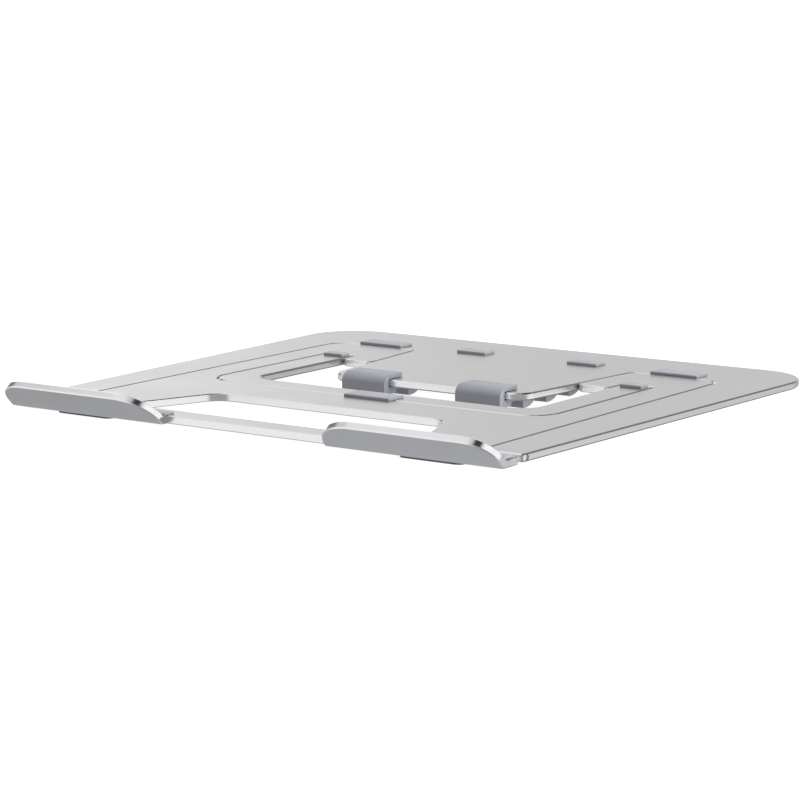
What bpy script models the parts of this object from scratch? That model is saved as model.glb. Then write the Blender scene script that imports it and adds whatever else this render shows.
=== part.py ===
"""Folding laptop riser with an open frame for cooling: base with two lips, platform, prop leg.

Plate coordinates: X right, Y back, Z up, upper faces of the folded sheets at Z = 0. The stand
empty lifts everything onto its feet and tips it by the rise of the stance.
"""
from math import atan2, cos, pi, radians, sin, tan

import bmesh
import bpy
from mathutils import Matrix, Vector

# Sheet metal
SHEET = 0.0032
CHAMFER = 0.0007
FIT = 0.0003
ARC_STEP = radians(12)

# Platform: side strips, rear panel and tongue
STRIP_IN_X = 0.0995
STRIP_FRONT_Y = -0.0736
STRIP_OUT_X = 0.1170
REAR_X = 0.1261
REAR_Y = 0.1500
REAR_ROUND = 0.0240
PANEL_Y = 0.1111
PANEL_ROUND = 0.0090
TONGUE_Y = 0.0357
TONGUE_TIP_X = 0.0482
TONGUE_ROOT_X = 0.0559
TONGUE_ROUND = 0.0085
ROOT_ROUND = 0.0040

# Base: front bar, cross member, arms and rear blocks; the slot holds the leg
BAR_FRONT_Y = -0.0847
FLANGE_X = 0.1176
FLANGE_BACK_Y = -0.0770
ARM_X = 0.0989
ARM_ROUND = 0.0084
BLOCK_BACK_Y = 0.1105
BLOCK_FRONT_Y = 0.0710
BLOCK_BACK_X = 0.0565
BLOCK_FRONT_X = 0.0523
BLOCK_ROUND = 0.0034
BLOCK_NOSE_ROUND = 0.0030
SLOT_OUT_X = 0.0839
SLOT_IN_X = 0.0683
SLOT_FRONT_Y = -0.0065
SLOT_BACK_Y = 0.0836
SLOT_ROUND = 0.0131
CUT_FRONT_Y = -0.0736
CUT_FRONT_X = 0.0714
CUT_FRONT_ROUND = 0.0055
CUT_BACK_Y = -0.0310
CUT_BACK_X = 0.0557
CUT_BACK_ROUND = 0.0095
SMALL_ROUND = 0.0015

# Lips, bent up from the front bar and leaning forward
LIP_LEAN = radians(45)
LIP_FOOT_Y = -0.0877
LIP_IN_X = 0.0390
LIP_OUT_X = 0.1178
LIP_HEIGHT = 0.0140
LIP_IN_STRAIGHT = 0.0005
LIP_IN_ROUND = 0.0175
LIP_OUT_STRAIGHT = 0.0040
LIP_OUT_ROUND = 0.0130

# Leg: a U of sheet lying in the base's slot
LEG_OUT_X = 0.0833
LEG_IN_X = 0.0689
LEG_FRONT_Y = -0.0059
LEG_BACK_Y = 0.0830
LEG_ROUND = 0.0125
WINDOW_Y = 0.0072
WINDOW_ROUND = 0.0090

# Hinges: both axes run along X at mid-thickness
PLATFORM_AXIS = Vector((0.0, -0.0710, -0.0016))
LEG_AXIS = Vector((0.0, 0.0760, -0.0016))
PIN_R = 0.00085
BORE_R = 0.00115
PLATFORM_PIN_X = (0.0932, 0.1168)
LEG_PIN_X = (0.0613, 0.0907)
BARREL_R = 0.0011
BARREL_Y = -0.0755
BARREL_X = (0.1040, 0.1166)

# Claws: silicone hooks over the tongue's front edge, with ridges below it that are steep in front
# and rounded behind. CLAW_NOSE is the depth and height of the rounded nose, RIDGE_Y the ridges'
# front faces.
CLAW_X = (0.0178, 0.0398)
CLAW_TOP = 0.0021
CLAW_BACK_Y = 0.0452
CLAW_FRONT_Y = 0.0317
CLAW_NOSE = (0.0055, 0.0040)
CLAW_CHIN_Z = -0.0063
CLAW_CHIN = 0.0018
CLAW_CHIN_Y = 0.0408
RACK_Z = -0.0047
RACK_BACK_Y = 0.0970
RIDGE_Y = (0.0496, 0.0680, 0.0863)
RIDGE_LONG = 0.0096
RIDGE_DEEP = 0.0040
RIDGE_TOE = 0.0010

# Silicone pads: height above the sheet and plan limits (X inner, X outer, Y front, Y back)
PAD_TOP = 0.0012
REAR_PAD = (0.0648, 0.0873, 0.1114, 0.1212)
MIDDLE_PAD = (0.0213, 0.0362, 0.1148, 0.1230)
LEG_PAD = (0.0710, 0.0812, 0.0749, 0.0808)
LEG_FRONT_PAD = (-0.0090, 0.0133, -0.0094, 0.0011)
LIP_PAD = (0.0392, 0.1160, -0.0858, -0.0802)
PAD_ROUND = 0.0004

# Feet and stance: thin front feet and tall rear feet, so that the sheets rise to the back
RISE = radians(2)
FRONT_FOOT = (0.0693, 0.0972, -0.0845, -0.0765)
FRONT_FOOT_DROP = 0.0014
REAR_FOOT = (0.0600, 0.0800, 0.0985, 0.1085)
FOOT_ROUND = 0.0030
STAND_Y = -0.02611
STAND_Z = (SHEET + FRONT_FOOT_DROP) * cos(RISE) - FRONT_FOOT[2] * sin(RISE)

# Finishes: base colour, metallic, roughness
ALUMINIUM = ((0.80, 0.80, 0.81), 1.0, 0.35)
STEEL = ((0.62, 0.62, 0.64), 1.0, 0.30)
SILICONE = ((0.33, 0.33, 0.37), 0.0, 0.60)
FOOT_SILICONE = ((0.14, 0.14, 0.16), 0.0, 0.65)

SIDES = ((-1, "left"), (1, "right"))


def clear_scene():
    for obj in list(bpy.data.objects):
        bpy.data.objects.remove(obj)


def make_material(name, color, metallic, roughness):
    mat = bpy.data.materials.new(name)
    mat.use_nodes = True
    shader = mat.node_tree.nodes["Principled BSDF"]
    shader.inputs["Base Color"].default_value = (*color, 1.0)
    shader.inputs["Metallic"].default_value = metallic
    shader.inputs["Roughness"].default_value = roughness
    return mat


def rounded(corners):
    """Outline through (x, y, radius) corners, each one turned into an arc."""
    points = []
    for i, (x, y, radius) in enumerate(corners):
        here = Vector((x, y))
        before = (Vector(corners[i - 1][:2]) - here).normalized()
        after = (Vector(corners[(i + 1) % len(corners)][:2]) - here).normalized()
        half = before.angle(after) / 2
        center = here + (before + after).normalized() * (radius / sin(half))
        start = here + before * (radius / tan(half)) - center
        end = here + after * (radius / tan(half)) - center
        sweep = atan2(start.x * end.y - start.y * end.x, start.dot(end))
        steps = max(2, round(abs(sweep) / ARC_STEP))
        for k in range(steps + 1):
            points.append(center + Matrix.Rotation(sweep * k / steps, 2) @ start)
    return [(p.x, p.y) for p in points]


def mirrored(half):
    """Closed outline from its right-hand half, which runs from the front to the back."""
    return rounded(half + [(-x, y, r) for x, y, r in reversed(half)])


def extruded(name, ring, step):
    """Closed mesh from a ring of points swept along the step vector."""
    bm = bmesh.new()
    face = bm.faces.new([bm.verts.new(p) for p in ring])
    grown = bmesh.ops.extrude_face_region(bm, geom=[face])["geom"]
    moved = [v for v in grown if isinstance(v, bmesh.types.BMVert)]
    bmesh.ops.translate(bm, vec=step, verts=moved)
    bmesh.ops.recalc_face_normals(bm, faces=bm.faces)
    mesh = bpy.data.meshes.new(name)
    bm.to_mesh(mesh)
    bm.free()
    return mesh


def slab(name, outline, low, high, origin=Vector()):
    """Plan outline swept from height low to height high, seen from the origin."""
    ring = [Vector((x, y, low)) - origin for x, y in outline]
    return extruded(name, ring, (0, 0, high - low))


def bar(name, section, x_limits, origin=Vector()):
    """Section in the YZ plane swept along X between the limits, seen from the origin."""
    low, high = sorted(x_limits)
    ring = [Vector((low, y, z)) - origin for y, z in section]
    return extruded(name, ring, (high - low, 0, 0))


def rod(name, radius, x_limits):
    """Round rod along X, centred on its own origin."""
    bm = bmesh.new()
    bmesh.ops.create_cone(bm, cap_ends=True, segments=24, radius1=radius, radius2=radius,
                          depth=abs(x_limits[1] - x_limits[0]), matrix=Matrix.Rotation(pi / 2, 4, "Y"))
    for face in bm.faces:
        face.smooth = len(face.verts) == 4
    mesh = bpy.data.meshes.new(name)
    bm.to_mesh(mesh)
    bm.free()
    return mesh


def place(name, mesh, finish, stand, origin=Vector()):
    obj = bpy.data.objects.new(name, mesh)
    bpy.context.collection.objects.link(obj)
    if finish is not None:
        mesh.materials.append(make_material(name, *finish))
    obj.location = origin
    obj.parent = stand
    return obj


def place_tool(name, mesh, stand, origin=Vector()):
    tool = place(name, mesh, None, stand, origin)
    tool.hide_render = True
    tool.display_type = "WIRE"
    return tool


def chamfer(obj, width=CHAMFER):
    mod = obj.modifiers.new("edge", "BEVEL")
    mod.width = width
    mod.segments = 1
    mod.limit_method = "ANGLE"
    mod.angle_limit = radians(60)


def combine(obj, tool, operation):
    mod = obj.modifiers.new(tool.name, "BOOLEAN")
    mod.operation = operation
    mod.solver = "EXACT"
    mod.object = tool


def drill(obj, label, x_limits, axis, stand):
    middle = Vector((sum(x_limits) / 2, axis.y, axis.z))
    combine(obj, place_tool(label, rod(label, BORE_R, x_limits), stand, middle), "DIFFERENCE")


def lip_section():
    """Section of a lip and of the bend at its foot, as (y, z)."""
    up = Vector((-sin(LIP_LEAN), cos(LIP_LEAN)))
    back = Vector((cos(LIP_LEAN), sin(LIP_LEAN)))
    foot = Vector((LIP_FOOT_Y, -SHEET))
    top = foot + up * LIP_HEIGHT
    top_back = top + back * SHEET
    inner = top_back - up * ((top_back.y + CHAMFER) / up.y)
    root_y = BAR_FRONT_Y + 0.004
    return [foot, top, top_back, inner, Vector((root_y, -CHAMFER)), Vector((root_y, -SHEET))]


def lip_outline(side):
    """A lip seen square on, as (x across, height up the leaning sheet)."""
    below = -0.007
    steps = 10
    points = [(LIP_IN_X, below)]
    for k in range(steps + 1):
        t = pi / 2 * k / steps
        rise = (LIP_HEIGHT - LIP_IN_STRAIGHT) * sin(t)
        points.append((LIP_IN_X + LIP_IN_ROUND * (1 - cos(t)), LIP_IN_STRAIGHT + rise))
    for k in range(steps + 1):
        t = pi / 2 * k / steps
        rise = (LIP_HEIGHT - LIP_OUT_STRAIGHT) * cos(t)
        points.append((LIP_OUT_X - LIP_OUT_ROUND * (1 - sin(t)), LIP_OUT_STRAIGHT + rise))
    points.append((LIP_OUT_X, below))
    return [(side * x, s) for x, s in points]


def lip_tool(side, label, stand):
    """A whole lip: its section swept along X and trimmed to the outline."""
    name = "lip_" + label
    reach = (side * (LIP_IN_X - 0.002), side * (LIP_OUT_X + 0.002))
    lip = place_tool(name, bar(name, lip_section(), reach), stand)
    up = Vector((0, -sin(LIP_LEAN), cos(LIP_LEAN)))
    back = Vector((0, cos(LIP_LEAN), sin(LIP_LEAN)))
    foot = Vector((0, LIP_FOOT_Y, -SHEET)) - back * 0.002
    ring = [foot + Vector((x, 0, 0)) + up * s for x, s in lip_outline(side)]
    trim = place_tool(name + "_trim", extruded(name + "_trim", ring, back * 0.016), stand)
    combine(lip, trim, "INTERSECT")
    return lip


def build_base(stand):
    outline = mirrored([
        (FLANGE_X, BAR_FRONT_Y, SMALL_ROUND),
        (FLANGE_X, FLANGE_BACK_Y, SMALL_ROUND),
        (ARM_X, FLANGE_BACK_Y, SMALL_ROUND),
        (ARM_X, BLOCK_BACK_Y, ARM_ROUND),
        (BLOCK_BACK_X, BLOCK_BACK_Y, BLOCK_ROUND),
        (BLOCK_FRONT_X, BLOCK_FRONT_Y, BLOCK_NOSE_ROUND),
        (SLOT_IN_X, BLOCK_FRONT_Y, BLOCK_NOSE_ROUND),
        (SLOT_IN_X, SLOT_BACK_Y, SMALL_ROUND),
        (SLOT_OUT_X, SLOT_BACK_Y, SMALL_ROUND),
        (SLOT_OUT_X, SLOT_FRONT_Y, SLOT_ROUND),
    ])
    base = place("base_plate", slab("base_plate", outline, -SHEET, 0), ALUMINIUM, stand)
    hole = mirrored([(CUT_FRONT_X, CUT_FRONT_Y, CUT_FRONT_ROUND), (CUT_BACK_X, CUT_BACK_Y, CUT_BACK_ROUND)])
    cutter = place_tool("front_cut", slab("front_cut", hole, -2 * SHEET, SHEET), stand)
    combine(base, cutter, "DIFFERENCE")
    chamfer(base)
    for side, label in SIDES:
        combine(base, lip_tool(side, label, stand), "UNION")
        reach = (side * (PLATFORM_PIN_X[0] - FIT), side * (ARM_X + 0.001))
        drill(base, "platform_bore_" + label, reach, PLATFORM_AXIS, stand)
        reach = (side * (LEG_PIN_X[0] - FIT), side * (LEG_PIN_X[1] + FIT))
        drill(base, "leg_bore_" + label, reach, LEG_AXIS, stand)


def build_platform(stand):
    outline = mirrored([
        (TONGUE_TIP_X, TONGUE_Y, TONGUE_ROUND),
        (TONGUE_ROOT_X, PANEL_Y, ROOT_ROUND),
        (STRIP_IN_X, PANEL_Y, PANEL_ROUND),
        (STRIP_IN_X, STRIP_FRONT_Y, SMALL_ROUND),
        (STRIP_OUT_X, STRIP_FRONT_Y, SMALL_ROUND),
        (REAR_X, REAR_Y, REAR_ROUND),
    ])
    mesh = slab("platform_plate", outline, -SHEET, 0, PLATFORM_AXIS)
    platform = place("platform_plate", mesh, ALUMINIUM, stand, PLATFORM_AXIS)
    chamfer(platform)
    for side, label in SIDES:
        reach = (side * (STRIP_IN_X - 0.001), side * (STRIP_OUT_X + 0.002))
        drill(platform, "strip_bore_" + label, reach, PLATFORM_AXIS, stand)


def build_leg(stand):
    outline = mirrored([
        (LEG_OUT_X, LEG_FRONT_Y, LEG_ROUND),
        (LEG_OUT_X, LEG_BACK_Y, SMALL_ROUND),
        (LEG_IN_X, LEG_BACK_Y, SMALL_ROUND),
        (LEG_IN_X, WINDOW_Y, WINDOW_ROUND),
    ])
    mesh = slab("leg_frame", outline, -SHEET, 0, LEG_AXIS)
    leg = place("leg_frame", mesh, ALUMINIUM, stand, LEG_AXIS)
    chamfer(leg)
    for side, label in SIDES:
        reach = (side * (LEG_IN_X - 0.001), side * (LEG_OUT_X + 0.001))
        drill(leg, "leg_end_bore_" + label, reach, LEG_AXIS, stand)


def arc(center_y, center_z, radius, start, end, steps):
    """Arc in the YZ plane between two angles in degrees, counted from +Y towards +Z."""
    turns = [radians(start + (end - start) * k / steps) for k in range(steps + 1)]
    return [(center_y + radius * cos(t), center_z + radius * sin(t)) for t in turns]


def ridge(front):
    """One ridge below the rack: steep front face, small toe, then a quarter of an ellipse."""
    toe_y = front + RIDGE_TOE
    points = [(front, RACK_Z)] + arc(toe_y, RACK_Z - RIDGE_DEEP + RIDGE_TOE, RIDGE_TOE, 180, 270, 4)
    steps = 10
    for k in range(1, steps + 1):
        t = pi / 2 * k / steps
        points.append((toe_y + (RIDGE_LONG - RIDGE_TOE) * sin(t), RACK_Z - RIDGE_DEEP * cos(t)))
    return points


def claw_section():
    """Hook over the tongue's edge, chin below it, then a rack of ridges."""
    points = [(CLAW_BACK_Y, CLAW_TOP)]
    deep, high = CLAW_NOSE
    steps = 10
    for k in range(steps + 1):
        t = pi / 2 * k / steps
        points.append((CLAW_FRONT_Y + deep * (1 - sin(t)), CLAW_TOP - high * (1 - cos(t))))
    points += arc(CLAW_FRONT_Y + CLAW_CHIN, CLAW_CHIN_Z + CLAW_CHIN, CLAW_CHIN, 180, 270, 5)
    points += [(CLAW_CHIN_Y, CLAW_CHIN_Z), (CLAW_CHIN_Y, RACK_Z)]
    for y in RIDGE_Y:
        points += ridge(y)
    points += [(RACK_BACK_Y, RACK_Z), (RACK_BACK_Y, -SHEET - FIT)]
    points += [(TONGUE_Y - FIT, -SHEET - FIT), (TONGUE_Y - FIT, FIT), (CLAW_BACK_Y, FIT)]
    return points


def build_claw(side, label, stand):
    name = "claw_" + label
    mesh = bar(name, claw_section(), (side * CLAW_X[0], side * CLAW_X[1]), PLATFORM_AXIS)
    for face in mesh.polygons:
        face.use_smooth = len(face.vertices) == 4
    place(name, mesh, SILICONE, stand, PLATFORM_AXIS)


def pad_outline(limits, side, radius):
    x0, x1, y0, y1 = limits
    low, high = sorted((side * x0, side * x1))
    return rounded([(low, y0, radius), (high, y0, radius), (high, y1, radius), (low, y1, radius)])


def build_pad(name, limits, side, stand, origin=Vector()):
    mesh = slab(name, pad_outline(limits, side, PAD_ROUND), FIT, PAD_TOP, origin)
    place(name, mesh, SILICONE, stand, origin)


def build_foot(name, limits, side, stand):
    """Foot under the base whose lower face lies in the resting plane."""
    mesh = slab(name, pad_outline(limits, side, FOOT_ROUND), -2 * SHEET, -SHEET - FIT)
    for vert in mesh.vertices:
        if vert.co.z < -1.5 * SHEET:
            drop = SHEET + FRONT_FOOT_DROP
            vert.co.z = -drop - tan(RISE) * (vert.co.y - FRONT_FOOT[2])
    place(name, mesh, FOOT_SILICONE, stand)


def build_rod(name, radius, x_limits, side, axis_y, stand):
    limits = (side * x_limits[0], side * x_limits[1])
    middle = Vector((sum(limits) / 2, axis_y, PLATFORM_AXIS.z))
    place(name, rod(name, radius, limits), STEEL, stand, middle)


def build_side(side, label, stand):
    """Everything that comes in a left and a right copy."""
    build_claw(side, label, stand)
    build_pad("rear_pad_" + label, REAR_PAD, side, stand, PLATFORM_AXIS)
    build_pad("middle_pad_" + label, MIDDLE_PAD, side, stand, PLATFORM_AXIS)
    build_pad("leg_pad_" + label, LEG_PAD, side, stand, LEG_AXIS)
    build_pad("lip_pad_" + label, LIP_PAD, side, stand)
    build_foot("front_foot_" + label, FRONT_FOOT, side, stand)
    build_foot("rear_foot_" + label, REAR_FOOT, side, stand)
    build_rod("platform_pin_" + label, PIN_R, PLATFORM_PIN_X, side, PLATFORM_AXIS.y, stand)
    build_rod("leg_pin_" + label, PIN_R, LEG_PIN_X, side, LEG_AXIS.y, stand)
    build_rod("hinge_barrel_" + label, BARREL_R, BARREL_X, side, BARREL_Y, stand)


def main():
    clear_scene()
    stand = bpy.data.objects.new("stand", None)
    bpy.context.collection.objects.link(stand)
    stand.location = (0, STAND_Y, STAND_Z)
    stand.rotation_euler = (RISE, 0, 0)
    build_base(stand)
    build_platform(stand)
    build_leg(stand)
    build_pad("leg_pad_front", LEG_FRONT_PAD, 1, stand, LEG_AXIS)
    for side, label in SIDES:
        build_side(side, label, stand)


main()
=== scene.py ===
"""Looks of the folding aluminium laptop riser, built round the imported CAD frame.

Lengths are metres in plate coordinates: X right, Y back, Z up, upper faces of the folded sheets at
Z = 0. STAND takes plate coordinates to the frame's own: the sheets rise to the back on their feet.
"""
from math import atan2, cos, pi, radians, sin, tan

import bmesh
import bpy
from mathutils import Matrix, Vector


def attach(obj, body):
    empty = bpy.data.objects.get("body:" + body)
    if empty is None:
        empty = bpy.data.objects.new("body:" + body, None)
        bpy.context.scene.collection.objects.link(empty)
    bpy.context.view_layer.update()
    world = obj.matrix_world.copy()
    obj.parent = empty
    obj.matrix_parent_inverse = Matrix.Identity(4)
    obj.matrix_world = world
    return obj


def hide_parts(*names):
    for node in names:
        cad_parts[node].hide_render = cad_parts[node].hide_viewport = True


# ---- dimensions ------------------------------------------------------------------------------
# Sheet thickness, the widths of its chamfers, and the plan radii of plain corners
SHEET = 0.0032
EDGE = 0.00075
PLATFORM_EDGE = 0.00055
UNDER_EDGE = 0.00060
SMALL, TINY = 0.0015, 0.0003

# Platform: side strips, rear panel and the tongue that tapers towards the front
STRIP_IN_X, STRIP_FRONT_Y, STRIP_OUT_X = 0.0995, -0.0736, 0.1170
REAR_X, REAR_Y, REAR_ROUND = 0.1261, 0.1500, 0.0240
PANEL_Y, PANEL_ROUND = 0.1111, 0.0090
TONGUE_Y, TONGUE_TIP_X, TONGUE_ROOT_X = 0.0357, 0.0482, 0.0559
TONGUE_ROUND, ROOT_ROUND = 0.0085, 0.0040

# Base: front bar with its flanges, arms, rear blocks, the slot for the leg and the front cut-out
BAR_FRONT_Y, FLANGE_X, FLANGE_BACK_Y = -0.0847, 0.1176, -0.0770
ARM_X, ARM_ROUND = 0.0989, 0.0084
BLOCK_BACK_Y, BLOCK_FRONT_Y, BLOCK_BACK_X, BLOCK_FRONT_X = 0.1105, 0.0710, 0.0565, 0.0523
BLOCK_ROUND, BLOCK_NOSE_ROUND = 0.0034, 0.0030
SLOT_OUT_X, SLOT_IN_X, SLOT_FRONT_Y, SLOT_BACK_Y = 0.0839, 0.0683, -0.0065, 0.0836
SLOT_ROUND = 0.0131
CUT_FRONT_Y, CUT_FRONT_X, CUT_FRONT_ROUND = -0.0736, 0.0714, 0.0055
CUT_BACK_Y, CUT_BACK_X, CUT_BACK_ROUND = -0.0310, 0.0557, 0.0095

# Lips: each end rises straight for a little, then as a quarter ellipse up to the level top. The
# outer side of the bend, the toe, and its hollow side, the crook, are each cut back by a small
# length along both faces and pass through a middle point. LIP_ROOT is how far the lip reaches into
# the bar, where it lies SUNK below the sheet's face. The last three are how far the untrimmed lip
# and the trimming shape go past the finished outline.
LIP_LEAN = radians(45)
LIP_FOOT_Y, LIP_HEIGHT = -0.0877, 0.0140
LIP_IN_X, LIP_IN_STRAIGHT, LIP_IN_ROUND = 0.0390, 0.0005, 0.0175
LIP_OUT_X, LIP_OUT_STRAIGHT, LIP_OUT_ROUND = 0.1178, 0.0040, 0.0130
TOE_ROUND, CROOK_ROUND, LIP_ROOT = 0.00045, 0.0014, 0.0020
TOE_MIDDLE, CROOK_MIDDLE, SUNK = Vector((0.000125, 0.00003)), Vector((0.00018, 0.00018)), 0.00001
TRIM_BELOW, TRIM_DEEP, SPARE = 0.0070, 0.0160, 0.0020

# Leg: a U of sheet lying in the slot
LEG_OUT_X, LEG_IN_X, LEG_FRONT_Y, LEG_BACK_Y, LEG_ROUND = 0.0833, 0.0689, -0.0059, 0.0830, 0.0125
WINDOW_Y, WINDOW_ROUND = 0.0072, 0.0090

# Hinges: both axes run along X at mid-thickness. END_GAP is a bore's play past its pin's end,
# THROUGH how far a drill goes past a wall.
AXIS_Z = -0.0016
PLATFORM_AXIS_Y, LEG_AXIS_Y = -0.0710, 0.0760
PIN_R, BORE_R = 0.00105, 0.00115
PLATFORM_PIN_X, LEG_PIN_X = (0.0932, 0.1168), (0.0613, 0.0907)
BARREL_R, BARREL_Y, BARREL_X = 0.0011, -0.0755, (0.1040, 0.1166)
END_GAP, THROUGH = 0.0003, 0.0010
ROD_EDGE, BORE_EDGE, ROD_SIDES = 0.00012, 0.00010, 40

# Claws: CLAW_NOSE is the depth and height of the rounded nose, CLAW_SOFT the radius of the small
# corners, RIDGE_Y the ridges' front faces
CLAW_X = (0.0178, 0.0398)
CLAW_TOP, CLAW_BACK_Y, CLAW_FRONT_Y, CLAW_NOSE = 0.0021, 0.0452, 0.0317, (0.0055, 0.0040)
CLAW_CHIN_Z, CLAW_CHIN, CLAW_CHIN_Y = -0.0063, 0.0018, 0.0408
RACK_Z, RACK_BACK_Y, RIDGE_Y = -0.0047, 0.0970, (0.0496, 0.0680, 0.0863)
RIDGE_LONG, RIDGE_DEEP, RIDGE_TOE = 0.0096, 0.0040, 0.0010
CLAW_GAP, CLAW_SOFT = 0.00015, 0.0005

# Silicone pads and feet: plan limits are X inner, X outer, Y front, Y back; each *_BEVEL is the
# rounding of the edges
PAD_BOTTOM, PAD_TOP, LIP_PAD_TOP = 0.00002, 0.0012, 0.0009
PAD_ROUND, FOOT_ROUND = 0.0003, 0.0030
PAD_BEVEL, FOOT_BEVEL, CLAW_BEVEL = 0.00012, 0.0002, 0.0002
REAR_PAD = (0.0648, 0.0873, 0.1114, 0.1212)
MIDDLE_PAD = (0.0213, 0.0362, 0.1148, 0.1230)
LEG_PAD = (0.0710, 0.0812, 0.0749, 0.0808)
LEG_FRONT_PAD = (-0.0090, 0.0133, -0.0094, 0.0011)
LIP_PAD = (0.0392, 0.1169, -0.0863, -0.0802)
FRONT_FOOT = (0.0693, 0.0972, -0.0845, -0.0765)
REAR_FOOT = (0.0600, 0.0800, 0.0985, 0.1085)

# Stance: the front feet are the lower ones, so the sheets rise to the back
RISE = radians(2)
FRONT_FOOT_DROP = 0.0014
STAND_Y = -0.02611
STAND_Z = (SHEET + FRONT_FOOT_DROP) * cos(RISE) - FRONT_FOOT[2] * sin(RISE)
STAND = Matrix.Translation((0, STAND_Y, STAND_Z)) @ Matrix.Rotation(RISE, 4, "X")

# Signs of X and labels of the two sides
SIDES = ((-1, "left"), (1, "right"))

# Material slots of every sheet, after the satin of slot 0
BRIGHT_SLOT, WALL_SLOT, UNDER_SLOT = 1, 2, 3

# Steps of arcs in plan, along the lips' ends, and along the claws' noses and ridges
ARC_STEP, PAD_ARC_STEP = radians(5), radians(15)
LIP_STEPS, CURVE_STEPS = 24, 20

# Tests on meshes: fold of an edge that gets a chamfer and of one that stays sharp, greatest upward
# part of a wall's normal, and closeness to a level
CHAMFERED, SHARP = radians(50), radians(28)
UPRIGHT, LEVEL = 0.3, 1e-6

# Studio: radius and glow of the floor and the dome, then the softboxes' distance and size
ROOM, FLOOR_GLOW = 40, 0.93
SOFTBOX_FAR, SOFTBOX_SIZE = 1.5, 0.9

# Camera, solved from the object's own straight edges: turned to the left round Z, looking down,
# and set off from the plates' origin by these distances
CAMERA_TURN, CAMERA_LIFT = radians(34.73), radians(9.681)
CAMERA_PLACE = (0.608724, -0.860404, 0.17782)
CAMERA_LENS, CAMERA_SENSOR = 118.386, 36.0

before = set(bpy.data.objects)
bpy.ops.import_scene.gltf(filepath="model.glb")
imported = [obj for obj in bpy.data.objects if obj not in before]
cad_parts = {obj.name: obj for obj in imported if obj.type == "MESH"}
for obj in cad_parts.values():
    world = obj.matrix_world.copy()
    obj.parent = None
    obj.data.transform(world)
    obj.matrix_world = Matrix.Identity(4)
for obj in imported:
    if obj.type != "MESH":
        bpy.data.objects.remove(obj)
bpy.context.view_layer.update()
scene = bpy.context.scene
scene.view_settings.view_transform = "Standard"


# ---- materials -------------------------------------------------------------------------------
class Nodes:
    """Shorthand for building one material's node tree."""

    def __init__(self, name, color, metallic, roughness):
        self.material = bpy.data.materials.new(name)
        self.material.use_nodes = True
        self.tree = self.material.node_tree
        self.shader = self.tree.nodes["Principled BSDF"]
        self.shader.inputs["Base Color"].default_value = (*color, 1)
        self.shader.inputs["Metallic"].default_value = metallic
        self.shader.inputs["Roughness"].default_value = roughness
        self.coords = self.tree.nodes.new("ShaderNodeTexCoord").outputs["Object"]

    def link(self, out, into):
        self.tree.links.new(out, into)

    def noise(self, scale, detail=2.0, stretch=(1, 1, 1)):
        mapping = self.tree.nodes.new("ShaderNodeMapping")
        mapping.inputs["Scale"].default_value = stretch
        self.link(self.coords, mapping.inputs["Vector"])
        node = self.tree.nodes.new("ShaderNodeTexNoise")
        node.inputs["Scale"].default_value = scale
        node.inputs["Detail"].default_value = detail
        self.link(mapping.outputs["Vector"], node.inputs["Vector"])
        return node.outputs["Fac"]

    def spread(self, fac, low, high, start=0.3, end=0.7):
        node = self.tree.nodes.new("ShaderNodeMapRange")
        node.inputs["From Min"].default_value = start
        node.inputs["From Max"].default_value = end
        node.inputs["To Min"].default_value = low
        node.inputs["To Max"].default_value = high
        self.link(fac, node.inputs["Value"])
        return node.outputs["Result"]

    def ramp(self, fac, low, high, start=0.3, end=0.7):
        node = self.tree.nodes.new("ShaderNodeValToRGB")
        node.color_ramp.elements[0].position = start
        node.color_ramp.elements[0].color = (*low, 1)
        node.color_ramp.elements[1].position = end
        node.color_ramp.elements[1].color = (*high, 1)
        self.link(fac, node.inputs["Fac"])
        return node.outputs["Color"]

    def color(self, out):
        self.link(out, self.shader.inputs["Base Color"])

    def roughness(self, out):
        self.link(out, self.shader.inputs["Roughness"])

    def bump(self, height, strength, distance):
        node = self.tree.nodes.new("ShaderNodeBump")
        node.inputs["Strength"].default_value = strength
        node.inputs["Distance"].default_value = distance
        self.link(height, node.inputs["Height"])
        self.link(node.outputs["Normal"], self.shader.inputs["Normal"])

    def add(self, a, b):
        node = self.tree.nodes.new("ShaderNodeMath")
        node.operation = "ADD"
        self.link(a, node.inputs[0])
        self.link(b, node.inputs[1])
        return node.outputs[0]


def satin_aluminium():
    """Blasted and anodised sheet: an even pale grey with a fine grain and faint cloudiness."""
    mat = Nodes("satin_aluminium", (0.655, 0.655, 0.655), 1.0, 0.34)
    cloud = mat.noise(35, 3)
    grain = mat.noise(3200, 2)
    mat.color(mat.ramp(cloud, (0.640, 0.640, 0.641), (0.670, 0.670, 0.670)))
    mat.roughness(mat.spread(mat.add(cloud, grain), 0.30, 0.38, 0.7, 1.3))
    mat.bump(grain, 0.12, 0.00003)
    return mat.material


def cut_edge(name, low, high):
    """Diamond-cut chamfer: metal with very fine tool lines along the sheet."""
    mat = Nodes(name, low, 1.0, 0.14)
    lines = mat.noise(900, 2, (0.2, 0.2, 9))
    mat.color(mat.ramp(lines, low, high))
    mat.roughness(mat.spread(lines, 0.10, 0.20))
    mat.bump(lines, 0.05, 0.00002)
    return mat.material


def sawn_wall():
    """Side walls of the sheet, blasted with the faces but a touch brighter."""
    mat = Nodes("blasted_wall", (0.80, 0.80, 0.80), 1.0, 0.27)
    lines = mat.noise(220, 2, (0.3, 0.3, 3))
    mat.color(mat.ramp(lines, (0.793, 0.793, 0.796), (0.807, 0.807, 0.807)))
    mat.roughness(mat.spread(lines, 0.26, 0.28))
    return mat.material


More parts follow.
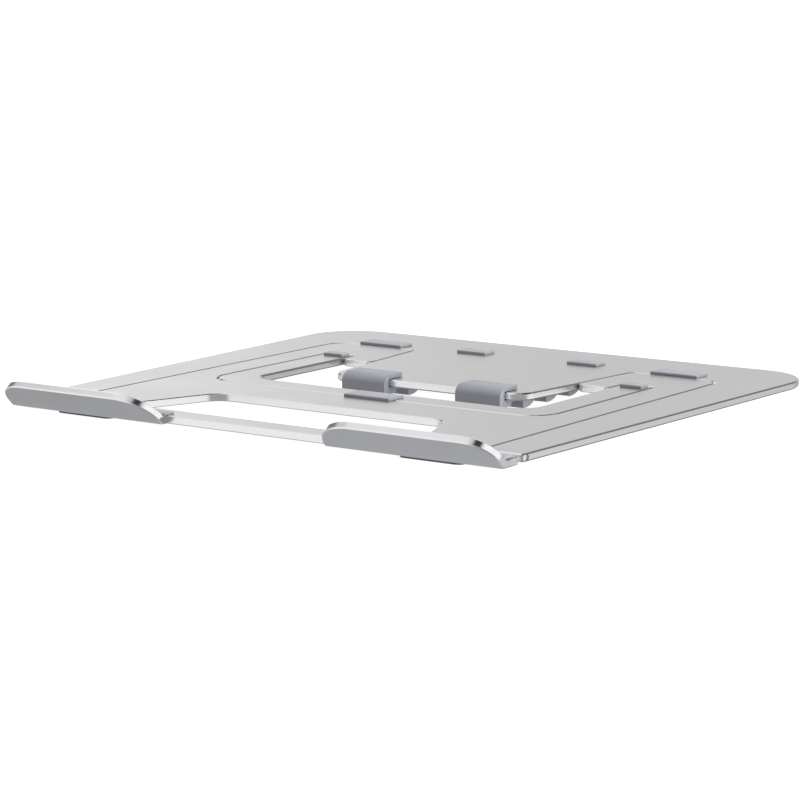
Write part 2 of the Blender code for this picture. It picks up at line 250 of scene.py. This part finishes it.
def silicone(name, low, high, roughness):
    """Moulded silicone: matt, with a fine spark-eroded grain and a little dust."""
    mat = Nodes(name, low, 0.0, roughness)
    dust = mat.noise(90, 4)
    grain = mat.noise(2600, 3)
    mat.color(mat.ramp(dust, low, high))
    mat.roughness(mat.spread(grain, roughness - 0.07, roughness + 0.07))
    mat.bump(grain, 0.25, 0.00005)
    mat.shader.inputs["Specular IOR Level"].default_value = 0.4
    return mat.material


def turned_steel():
    """Turned steel pin with fine rings."""
    mat = Nodes("turned_steel", (0.55, 0.55, 0.56), 1.0, 0.25)
    rings = mat.noise(1500, 1, (6, 0.4, 0.4))
    mat.color(mat.ramp(rings, (0.62, 0.62, 0.63), (0.76, 0.76, 0.77)))
    mat.roughness(mat.spread(rings, 0.18, 0.32))
    mat.bump(rings, 0.15, 0.00004)
    return mat.material


SATIN = satin_aluminium()
BRIGHT = cut_edge("bright_cut_edge", (0.74, 0.74, 0.75), (0.82, 0.82, 0.83))
# Lower chamfers: the cut edge darkened as painted shade, standing for the shade beneath the
# sheet's lower edges
UNDER = cut_edge("under_edge_painted_shade", (0.43, 0.43, 0.44), (0.49, 0.49, 0.50))
WALL = sawn_wall()
PAD_GREY = silicone("grey_silicone", (0.290, 0.290, 0.320), (0.310, 0.310, 0.340), 0.50)
# Claw silicone: the pads' silicone made darker as painted shade for the claws' shaded fronts, with
# a bluer tint that is the claws' own colour
CLAW_SHADED_GREY = silicone("claw_silicone_shaded", (0.240, 0.247, 0.280), (0.260, 0.267, 0.300), 0.50)
FOOT_GREY = silicone("dark_silicone", (0.10, 0.10, 0.105), (0.13, 0.13, 0.135), 0.60)
STEEL = turned_steel()

# What every sheet is made of, in the order of the slots named above; the last, for the lower
# chamfers, is darkened as painted shade
SHEET_METAL = (SATIN, BRIGHT, WALL, UNDER)


# ---- mesh tools ------------------------------------------------------------------------------
def quarter(steps):
    """Angles of a quarter turn, from 0 up."""
    return [pi / 2 * k / steps for k in range(steps + 1)]


def rounded(corners, step=ARC_STEP):
    """Outline through (x, y, radius) corners, each one turned into an arc."""
    points = []
    for i, (x, y, radius) in enumerate(corners):
        here = Vector((x, y))
        before = (Vector(corners[i - 1][:2]) - here).normalized()
        after = (Vector(corners[(i + 1) % len(corners)][:2]) - here).normalized()
        half = before.angle(after) / 2
        center = here + (before + after).normalized() * (radius / sin(half))
        start = here + before * (radius / tan(half)) - center
        end = here + after * (radius / tan(half)) - center
        sweep = atan2(start.x * end.y - start.y * end.x, start.dot(end))
        steps = max(3, round(abs(sweep) / step))
        for k in range(steps + 1):
            points.append(center + Matrix.Rotation(sweep * k / steps, 2) @ start)
    return [(p.x, p.y) for p in points]


def mirrored(half):
    """Symmetric outline from the corners of its right half."""
    return rounded(half + [(-x, y, r) for x, y, r in reversed(half)])


def swept(name, ring, step):
    """Closed mesh from a ring of points swept along the step vector."""
    bm = bmesh.new()
    face = bm.faces.new([bm.verts.new(p) for p in ring])
    grown = bmesh.ops.extrude_face_region(bm, geom=[face])["geom"]
    moved = [v for v in grown if isinstance(v, bmesh.types.BMVert)]
    bmesh.ops.translate(bm, vec=step, verts=moved)
    bmesh.ops.recalc_face_normals(bm, faces=bm.faces)
    mesh = bpy.data.meshes.new(name)
    bm.to_mesh(mesh)
    bm.free()
    return mesh


def slab(name, outline, low, high):
    """Level plate between two heights, from its outline in plan."""
    return swept(name, [Vector((x, y, low)) for x, y in outline], (0, 0, high - low))


def bar(name, section, x_limits):
    """Bar along X, from its section in Y and Z."""
    low, high = sorted(x_limits)
    return swept(name, [Vector((low, y, z)) for y, z in section], (high - low, 0, 0))


def link(name, mesh, *materials):
    """Object in the scene from a mesh, with its material slots."""
    obj = bpy.data.objects.new(name, mesh)
    scene.collection.objects.link(obj)
    for mat in materials:
        mesh.materials.append(mat)
    return obj


def bevel(obj, width, segments, angle=60):
    """Rounding of every edge that folds by more than the angle."""
    mod = obj.modifiers.new("edge", "BEVEL")
    mod.width = width
    mod.segments = segments
    mod.limit_method = "ANGLE"
    mod.angle_limit = radians(angle)


def cut_chamfers(mesh, groups):
    """Cut chamfers in groups: a width, the chamfer's material slot and a test that picks edges."""
    bm = bmesh.new()
    bm.from_mesh(mesh)
    for width, slot, wanted in groups:
        edges = [e for e in bm.edges
                 if e.is_manifold and e.calc_face_angle(0) > CHAMFERED and wanted(e)]
        bmesh.ops.bevel(
            bm, geom=edges, offset=width, offset_type="OFFSET", segments=1, profile=0.5,
            affect="EDGES", clamp_overlap=True, material=slot)
    bm.to_mesh(mesh)
    bm.free()


def finish_sheet(mesh, top_width=EDGE):
    """Chamfer a level sheet, bright above and darker below with painted shade, and give its walls
    their finish.
    """
    def at(level):
        return lambda edge: all(abs(v.co.z - level) < LEVEL for v in edge.verts)

    cut_chamfers(mesh, ((top_width, BRIGHT_SLOT, at(0)), (UNDER_EDGE, UNDER_SLOT, at(-SHEET))))
    for face in mesh.polygons:
        if face.material_index == 0 and abs(face.normal.z) < UPRIGHT:
            face.material_index = WALL_SLOT


def boolean(obj, tool, operation):
    """Cut the tool from the object, or join it on; bake() makes it final."""
    mod = obj.modifiers.new(tool.name, "BOOLEAN")
    mod.operation = operation
    mod.solver = "EXACT"
    mod.object = tool


def bake(obj):
    """Replace an object's mesh by its evaluated one, without modifiers."""
    graph = bpy.context.evaluated_depsgraph_get()
    mesh = bpy.data.meshes.new_from_object(obj.evaluated_get(graph))
    obj.modifiers.clear()
    old = obj.data
    obj.data = mesh
    bpy.data.meshes.remove(old)


def smooth_by_angle(mesh, limit=SHARP):
    """Smooth shading, with a sharp edge wherever two faces meet at more than the limit."""
    bm = bmesh.new()
    bm.from_mesh(mesh)
    for face in bm.faces:
        face.smooth = True
    for edge in bm.edges:
        edge.smooth = edge.is_manifold and edge.calc_face_angle(0) < limit
    bm.to_mesh(mesh)
    bm.free()


def settle(obj, body, slot, *nodes):
    """Bring a finished piece into the frame, on its body and in place of its CAD nodes."""
    if obj.modifiers:
        bake(obj)
    smooth_by_angle(obj.data)
    obj.data.transform(STAND)
    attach(obj, body)
    if nodes:
        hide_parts(*nodes)


def discard(*tools):
    """Remove shapes that were only needed to cut others or to be joined to them."""
    for tool in tools:
        mesh = tool.data
        bpy.data.objects.remove(tool)
        bpy.data.meshes.remove(mesh)


def rod_mesh(name, radius, x_limits, y, edge=ROD_EDGE):
    """Round rod on an axis along X, with turned edges, as a lathe profile spun about the axis."""
    low, high = sorted(x_limits)
    profile = [(low, 0), (low, radius - edge), (low + edge, radius), (high - edge, radius),
               (high, radius - edge), (high, 0)]
    bm = bmesh.new()
    rings = []
    for x, r in profile:
        turns = [2 * pi * k / ROD_SIDES for k in range(ROD_SIDES if r else 1)]
        rings.append([bm.verts.new((x, y + r * cos(t), AXIS_Z + r * sin(t))) for t in turns])
    for a, b in zip(rings, rings[1:]):
        for k in range(ROD_SIDES):
            around = (a[k % len(a)], a[(k + 1) % len(a)], b[(k + 1) % len(b)], b[k % len(b)])
            bm.faces.new(list(dict.fromkeys(around)))
    bmesh.ops.recalc_face_normals(bm, faces=bm.faces)
    mesh = bpy.data.meshes.new(name)
    bm.to_mesh(mesh)
    bm.free()
    return mesh


def drill(obj, side, x_limits, y):
    """Bore the object with a rod, which is returned and goes once the object is baked."""
    ends = [side * x for x in x_limits]
    tool = link("drill", rod_mesh("drill", BORE_R, ends, y, BORE_EDGE))
    boolean(obj, tool, "DIFFERENCE")
    return tool


# ---- base ------------------------------------------------------------------------------------
def lip_section():
    """Section of a lip and of the bend at its foot, as (y, z)."""
    up = Vector((-sin(LIP_LEAN), cos(LIP_LEAN)))
    back = Vector((cos(LIP_LEAN), sin(LIP_LEAN)))
    foot = Vector((LIP_FOOT_Y, -SHEET))
    top = foot + up * (LIP_HEIGHT + SPARE)
    top_back = top + back * SHEET
    inner = top_back - up * (top_back.y / up.y)
    root_y = BAR_FRONT_Y + LIP_ROOT
    toe = [foot + Vector((TOE_ROUND, 0)), foot + TOE_MIDDLE, foot + up * TOE_ROUND]
    crook = [inner + up * CROOK_ROUND, inner + CROOK_MIDDLE, inner + Vector((CROOK_ROUND, -SUNK))]
    return toe + [top, top_back] + crook + [Vector((root_y, -SUNK)), Vector((root_y, -SHEET))]


def lip_outline(side):
    """A lip seen square on, as (x across, height up the leaning sheet)."""
    points = [(LIP_IN_X, -TRIM_BELOW)]
    for t in quarter(LIP_STEPS):
        rise = (LIP_HEIGHT - LIP_IN_STRAIGHT) * sin(t)
        points.append((LIP_IN_X + LIP_IN_ROUND * (1 - cos(t)), LIP_IN_STRAIGHT + rise))
    for t in quarter(LIP_STEPS):
        rise = (LIP_HEIGHT - LIP_OUT_STRAIGHT) * cos(t)
        points.append((LIP_OUT_X - LIP_OUT_ROUND * (1 - sin(t)), LIP_OUT_STRAIGHT + rise))
    points.append((LIP_OUT_X, -TRIM_BELOW))
    return [(side * x, height) for x, height in points]


def make_lip(side):
    """A whole lip: its section swept along X and trimmed to the outline, with a bright cut rim."""
    reach = (side * (LIP_IN_X - SPARE), side * (LIP_OUT_X + SPARE))
    lip = link("lip", bar("lip", lip_section(), reach), *SHEET_METAL)
    up = Vector((0, -sin(LIP_LEAN), cos(LIP_LEAN)))
    back = Vector((0, cos(LIP_LEAN), sin(LIP_LEAN)))
    foot = Vector((0, LIP_FOOT_Y, -SHEET)) - back * SPARE
    ring = [foot + Vector((x, 0, 0)) + up * height for x, height in lip_outline(side)]
    trim = link("trim", swept("trim", ring, back * TRIM_DEEP), *SHEET_METAL)
    for face in trim.data.polygons:
        face.material_index = BRIGHT_SLOT
    boolean(lip, trim, "INTERSECT")
    bake(lip)
    discard(trim)

    def on_rim(edge):
        return len({face.material_index for face in edge.link_faces}) == 2

    cut_chamfers(lip.data, ((EDGE, BRIGHT_SLOT, on_rim),))
    return lip


def make_base():
    """Base sheet with its cut-out, both lips and the bores for the four pins."""
    outline = mirrored([
        (FLANGE_X, BAR_FRONT_Y, TINY), (FLANGE_X, FLANGE_BACK_Y, SMALL),
        (ARM_X, FLANGE_BACK_Y, SMALL), (ARM_X, BLOCK_BACK_Y, ARM_ROUND),
        (BLOCK_BACK_X, BLOCK_BACK_Y, BLOCK_ROUND),
        (BLOCK_FRONT_X, BLOCK_FRONT_Y, BLOCK_NOSE_ROUND),
        (SLOT_IN_X, BLOCK_FRONT_Y, BLOCK_NOSE_ROUND), (SLOT_IN_X, SLOT_BACK_Y, SMALL),
        (SLOT_OUT_X, SLOT_BACK_Y, SMALL), (SLOT_OUT_X, SLOT_FRONT_Y, SLOT_ROUND)])
    base = link("base_sheet", slab("base_sheet", outline, -SHEET, 0), *SHEET_METAL)
    hole = mirrored([
        (CUT_FRONT_X, CUT_FRONT_Y, CUT_FRONT_ROUND), (CUT_BACK_X, CUT_BACK_Y, CUT_BACK_ROUND)])
    tools = [link("cut", slab("cut", hole, -2 * SHEET, SHEET), SATIN)]
    boolean(base, tools[0], "DIFFERENCE")
    bake(base)
    finish_sheet(base.data)
    for side, _ in SIDES:
        tools.append(make_lip(side))
        boolean(base, tools[-1], "UNION")
        arm_bore = (PLATFORM_PIN_X[0] - END_GAP, ARM_X + THROUGH)
        tools.append(drill(base, side, arm_bore, PLATFORM_AXIS_Y))
        leg_bore = (LEG_PIN_X[0] - END_GAP, LEG_PIN_X[1] + END_GAP)
        tools.append(drill(base, side, leg_bore, LEG_AXIS_Y))
    settle(base, "base", "sheet", "base_plate")
    discard(*tools)


def make_platform():
    """Platform sheet with bores through the front ends of its side strips."""
    outline = mirrored([
        (TONGUE_TIP_X, TONGUE_Y, TONGUE_ROUND), (TONGUE_ROOT_X, PANEL_Y, ROOT_ROUND),
        (STRIP_IN_X, PANEL_Y, PANEL_ROUND), (STRIP_IN_X, STRIP_FRONT_Y, SMALL),
        (STRIP_OUT_X, STRIP_FRONT_Y, SMALL), (REAR_X, REAR_Y, REAR_ROUND)])
    sheet = link("platform_sheet", slab("platform_sheet", outline, -SHEET, 0), *SHEET_METAL)
    finish_sheet(sheet.data, PLATFORM_EDGE)
    bore = (STRIP_IN_X - THROUGH, STRIP_OUT_X + 2 * THROUGH)
    tools = [drill(sheet, side, bore, PLATFORM_AXIS_Y) for side, _ in SIDES]
    settle(sheet, "platform", "sheet", "platform_plate")
    discard(*tools)


def make_leg():
    """Leg sheet with bores through the rear ends of its two bars."""
    outline = mirrored([
        (LEG_OUT_X, LEG_FRONT_Y, LEG_ROUND), (LEG_OUT_X, LEG_BACK_Y, SMALL),
        (LEG_IN_X, LEG_BACK_Y, SMALL), (LEG_IN_X, WINDOW_Y, WINDOW_ROUND)])
    leg = link("leg_sheet", slab("leg_sheet", outline, -SHEET, 0), *SHEET_METAL)
    finish_sheet(leg.data)
    bore = (LEG_IN_X - THROUGH, LEG_OUT_X + THROUGH)
    tools = [drill(leg, side, bore, LEG_AXIS_Y) for side, _ in SIDES]
    settle(leg, "leg", "sheet", "leg_frame")
    discard(*tools)


# ---- silicone --------------------------------------------------------------------------------
def arc(center_y, center_z, radius, start, end, steps):
    """Arc in Y and Z between two angles, in degrees."""
    turns = [radians(start + (end - start) * k / steps) for k in range(steps + 1)]
    return [(center_y + radius * cos(t), center_z + radius * sin(t)) for t in turns]


def ridge(front):
    """One ridge below the rack: steep front face, small toe, then a quarter of an ellipse."""
    toe_y = front + RIDGE_TOE
    toe_z = RACK_Z - RIDGE_DEEP + RIDGE_TOE
    points = [(front, RACK_Z)] + arc(toe_y, toe_z, RIDGE_TOE, 180, 270, 6)
    for t in quarter(CURVE_STEPS)[1:]:
        points.append((toe_y + (RIDGE_LONG - RIDGE_TOE) * sin(t), RACK_Z - RIDGE_DEEP * cos(t)))
    return points


def claw_section():
    """Hook over the tongue's edge, chin below it, then a rack of ridges."""
    points = arc(CLAW_BACK_Y - CLAW_SOFT, CLAW_TOP - CLAW_SOFT, CLAW_SOFT, 0, 90, 4)
    deep, high = CLAW_NOSE
    for t in quarter(CURVE_STEPS):
        points.append((CLAW_FRONT_Y + deep * (1 - sin(t)), CLAW_TOP - high * (1 - cos(t))))
    points += arc(CLAW_FRONT_Y + CLAW_CHIN, CLAW_CHIN_Z + CLAW_CHIN, CLAW_CHIN, 180, 270, 10)
    points += arc(CLAW_CHIN_Y - CLAW_SOFT, CLAW_CHIN_Z + CLAW_SOFT, CLAW_SOFT, 270, 360, 4)
    points += [(CLAW_CHIN_Y, RACK_Z)]
    for y in RIDGE_Y:
        points += ridge(y)
    bite_y, under_z = TONGUE_Y - CLAW_GAP, -SHEET - CLAW_GAP
    points += [(RACK_BACK_Y, RACK_Z), (RACK_BACK_Y, under_z)]
    points += [(bite_y, under_z), (bite_y, CLAW_GAP), (CLAW_BACK_Y, CLAW_GAP)]
    return points


def make_claw(side, label):
    """Claw and rack in one piece, as moulded."""
    name = "silicone_claw_" + label
    claw = link(name, bar(name, claw_section(), (side * CLAW_X[0], side * CLAW_X[1])), CLAW_SHADED_GREY)
    bevel(claw, CLAW_BEVEL, 2, 70)
    settle(claw, "platform", "silicone", "claw_" + label)


def pad_outline(limits, side, radius):
    """Plan of a pad or foot, from the limits of the one on the right."""
    inner, outer, front, back = limits
    low, high = sorted((side * inner, side * outer))
    corners = ((low, front), (high, front), (high, back), (low, back))
    return rounded([(x, y, radius) for x, y in corners], PAD_ARC_STEP)


def make_pad(node, limits, side, body, top=PAD_TOP):
    """Thin pad lying on a sheet's upper face."""
    name = "silicone_" + node
    pad = link(name, slab(name, pad_outline(limits, side, PAD_ROUND), PAD_BOTTOM, top), PAD_GREY)
    bevel(pad, PAD_BEVEL, 2)
    settle(pad, body, "silicone", node)


def make_foot(node, limits, side, body):
    """Foot under the base whose lower face lies in the resting plane."""
    name = "silicone_" + node
    mesh = slab(name, pad_outline(limits, side, FOOT_ROUND), -2 * SHEET, -SHEET)
    for vert in mesh.vertices:
        if vert.co.z < -1.5 * SHEET:
            vert.co.z = -SHEET - FRONT_FOOT_DROP - tan(RISE) * (vert.co.y - FRONT_FOOT[2])
    foot = link(name, mesh, FOOT_GREY)
    bevel(foot, FOOT_BEVEL, 2)
    settle(foot, body, "feet", node)


# ---- pins ------------------------------------------------------------------------------------
def make_rod(node, radius, side, x_limits, y):
    """Pin or barrel, fixed in the base."""
    name = "steel_" + node
    rod = link(name, rod_mesh(name, radius, [side * x for x in x_limits], y), STEEL)
    settle(rod, "base", "steel", node)


make_base()
make_platform()
make_leg()
make_pad("leg_pad_front", LEG_FRONT_PAD, 1, "leg")
for side, label in SIDES:
    make_claw(side, label)
    make_pad("rear_pad_" + label, REAR_PAD, side, "platform")
    make_pad("middle_pad_" + label, MIDDLE_PAD, side, "platform")
    make_pad("leg_pad_" + label, LEG_PAD, side, "leg")
    make_pad("lip_pad_" + label, LIP_PAD, side, "base", LIP_PAD_TOP)
    make_foot("front_foot_" + label, FRONT_FOOT, side, "base")
    make_foot("rear_foot_" + label, REAR_FOOT, side, "base")
    make_rod("platform_pin_" + label, PIN_R, side, PLATFORM_PIN_X, PLATFORM_AXIS_Y)
    make_rod("leg_pin_" + label, PIN_R, side, LEG_PIN_X, LEG_AXIS_Y)
    make_rod("hinge_barrel_" + label, BARREL_R, side, BARREL_X, BARREL_Y)


# ---- studio ----------------------------------------------------------------------------------
def make_backdrop():
    """White floor and dome that only the camera sees, so that the panels light the metal."""
    floor = bpy.data.meshes.new("floor")
    bm = bmesh.new()
    bmesh.ops.create_circle(bm, cap_ends=True, segments=64, radius=ROOM)
    bm.to_mesh(floor)
    bm.free()
    dome = bpy.data.meshes.new("dome")
    bm = bmesh.new()
    bmesh.ops.create_uvsphere(bm, u_segments=64, v_segments=32, radius=ROOM)
    bm.to_mesh(dome)
    bm.free()
    mat = Nodes("pale_floor", (0.30, 0.30, 0.30), 0.0, 0.9)
    mat.shader.inputs["Specular IOR Level"].default_value = 0.0
    mat.shader.inputs["Emission Color"].default_value = (1, 1, 1, 1)
    mat.shader.inputs["Emission Strength"].default_value = FLOOR_GLOW
    for obj in (link("floor", floor, mat.material), link("dome", dome, mat.material)):
        obj.visible_diffuse = False
        obj.visible_glossy = False
        obj.visible_shadow = False


# Sky behind the panels: height from 0, straight down, to 1, straight up, and the colour there
SKY = (
    (0.0, (0.535, 0.55, 0.588)),
    (0.30, (0.535, 0.55, 0.588)),
    (0.46, (0.70, 0.70, 0.71)),
    (0.65, (0.70, 0.70, 0.70)),
    (1.0, (0.70, 0.70, 0.70)),
)

# Studio panels, painted in this order: compass angle from +X, height angle, half angles of the
# even middle and of the faded rim, all in degrees, then the brightness.
PANELS = (
    ("back", 88, 5, 10, 35, 0.50),
    ("left_back", 130, 10, 12, 34, 0.80),
    ("left_window", 140, 10, 3, 18, 1.33),
    ("left_dark", 165, 16, 10, 22, 0.25),
    ("front_left", 235, -10, 20, 45, 1.04),
    ("softbox", 200, 62, 14, 26, 0.96),
    ("softbox_fade", 190, 38, 4, 14, 0.72),
    ("camera_side", -52, -5, 38, 58, 0.38),
    ("right", 22, 2, 16, 34, 1.18),
    ("right_high", 0, 43, 12, 26, 1.20),
    ("high_card", 42, 64, 14, 25, 0.06),
    ("black_card", -50, 68, 7, 15, 0.02),
    ("back_card", 78, 34, 8, 24, 0.22),
    ("under_back", 102, -34, 10, 26, 0.30),
    ("under_left", 172, -38, 6, 20, 0.40),
)


def aim(compass, height):
    """Direction at a compass angle from +X and a height angle, in degrees."""
    turn, lift = radians(compass), radians(height)
    return Vector((cos(turn) * cos(lift), sin(turn) * cos(lift), sin(lift)))


def make_world():
    """World of a soft sky with the panels painted over it, for the metal to mirror."""
    world = bpy.data.worlds.new("studio")
    world.use_nodes = True
    scene.world = world
    tree = world.node_tree
    coords = tree.nodes.new("ShaderNodeTexCoord").outputs["Generated"]
    split = tree.nodes.new("ShaderNodeSeparateXYZ")
    tree.links.new(coords, split.inputs[0])
    shift = tree.nodes.new("ShaderNodeMapRange")
    shift.inputs["From Min"].default_value = -1
    tree.links.new(split.outputs["Z"], shift.inputs["Value"])
    ramp = tree.nodes.new("ShaderNodeValToRGB")
    for position, _ in SKY[1:-1]:
        ramp.color_ramp.elements.new(position)
    for element, (position, color) in zip(ramp.color_ramp.elements, SKY):
        element.position = position
        element.color = (*color, 1)
    tree.links.new(shift.outputs["Result"], ramp.inputs["Fac"])
    light = ramp.outputs["Color"]
    for name, compass, height, middle, rim, level in PANELS:
        dot = tree.nodes.new("ShaderNodeVectorMath")
        dot.name = name
        dot.operation = "DOT_PRODUCT"
        dot.inputs[1].default_value = aim(compass, height)
        tree.links.new(coords, dot.inputs[0])
        fade = tree.nodes.new("ShaderNodeMapRange")
        fade.interpolation_type = "SMOOTHSTEP"
        fade.inputs["From Min"].default_value = cos(radians(rim))
        fade.inputs["From Max"].default_value = cos(radians(middle))
        tree.links.new(dot.outputs["Value"], fade.inputs["Value"])
        mix = tree.nodes.new("ShaderNodeMix")
        mix.data_type = "RGBA"
        sockets = [i for i in mix.inputs if i.type == "RGBA"]
        sockets[1].default_value = (level, level, level, 1)
        tree.links.new(fade.outputs["Result"], mix.inputs["Factor"])
        tree.links.new(light, sockets[0])
        light = [o for o in mix.outputs if o.type == "RGBA"][0]
    back = tree.nodes["Background"]
    tree.links.new(light, back.inputs["Color"])
    back.inputs["Strength"].default_value = 1.0


# Softboxes that light the silicone only, since the metal has the panels to mirror: compass angle,
# height angle, and power.
SOFTBOXES = (("side", 12, 4, 28), ("top", 60, 76, 20))


def make_lights():
    """Softboxes that face the frame's origin."""
    for name, compass, height, power in SOFTBOXES:
        way = aim(compass, height)
        data = bpy.data.lights.new(name, "AREA")
        data.size = SOFTBOX_SIZE
        data.energy = power
        obj = bpy.data.objects.new(name, data)
        scene.collection.objects.link(obj)
        obj.location = way * SOFTBOX_FAR
        obj.rotation_euler = way.to_track_quat("Z", "Y").to_euler()
        obj.visible_glossy = False
        obj.visible_camera = False


def make_camera():
    """The photograph's camera, placed in plate coordinates and carried into the frame."""
    turn, lift = CAMERA_TURN, CAMERA_LIFT
    data = bpy.data.cameras.new("camera")
    data.sensor_width = CAMERA_SENSOR
    data.lens = CAMERA_LENS
    data.clip_start = 0.05
    data.clip_end = 2.5 * ROOM
    obj = bpy.data.objects.new("camera", data)
    scene.collection.objects.link(obj)
    right = Vector((cos(turn), sin(turn), 0))
    back = Vector((sin(turn) * cos(lift), -cos(turn) * cos(lift), sin(lift)))
    up = back.cross(right)
    place = Matrix((right, up, back)).transposed().to_4x4()
    place.translation = CAMERA_PLACE
    obj.matrix_world = STAND @ place
    scene.camera = obj


make_backdrop()
make_world()
make_lights()
make_camera()
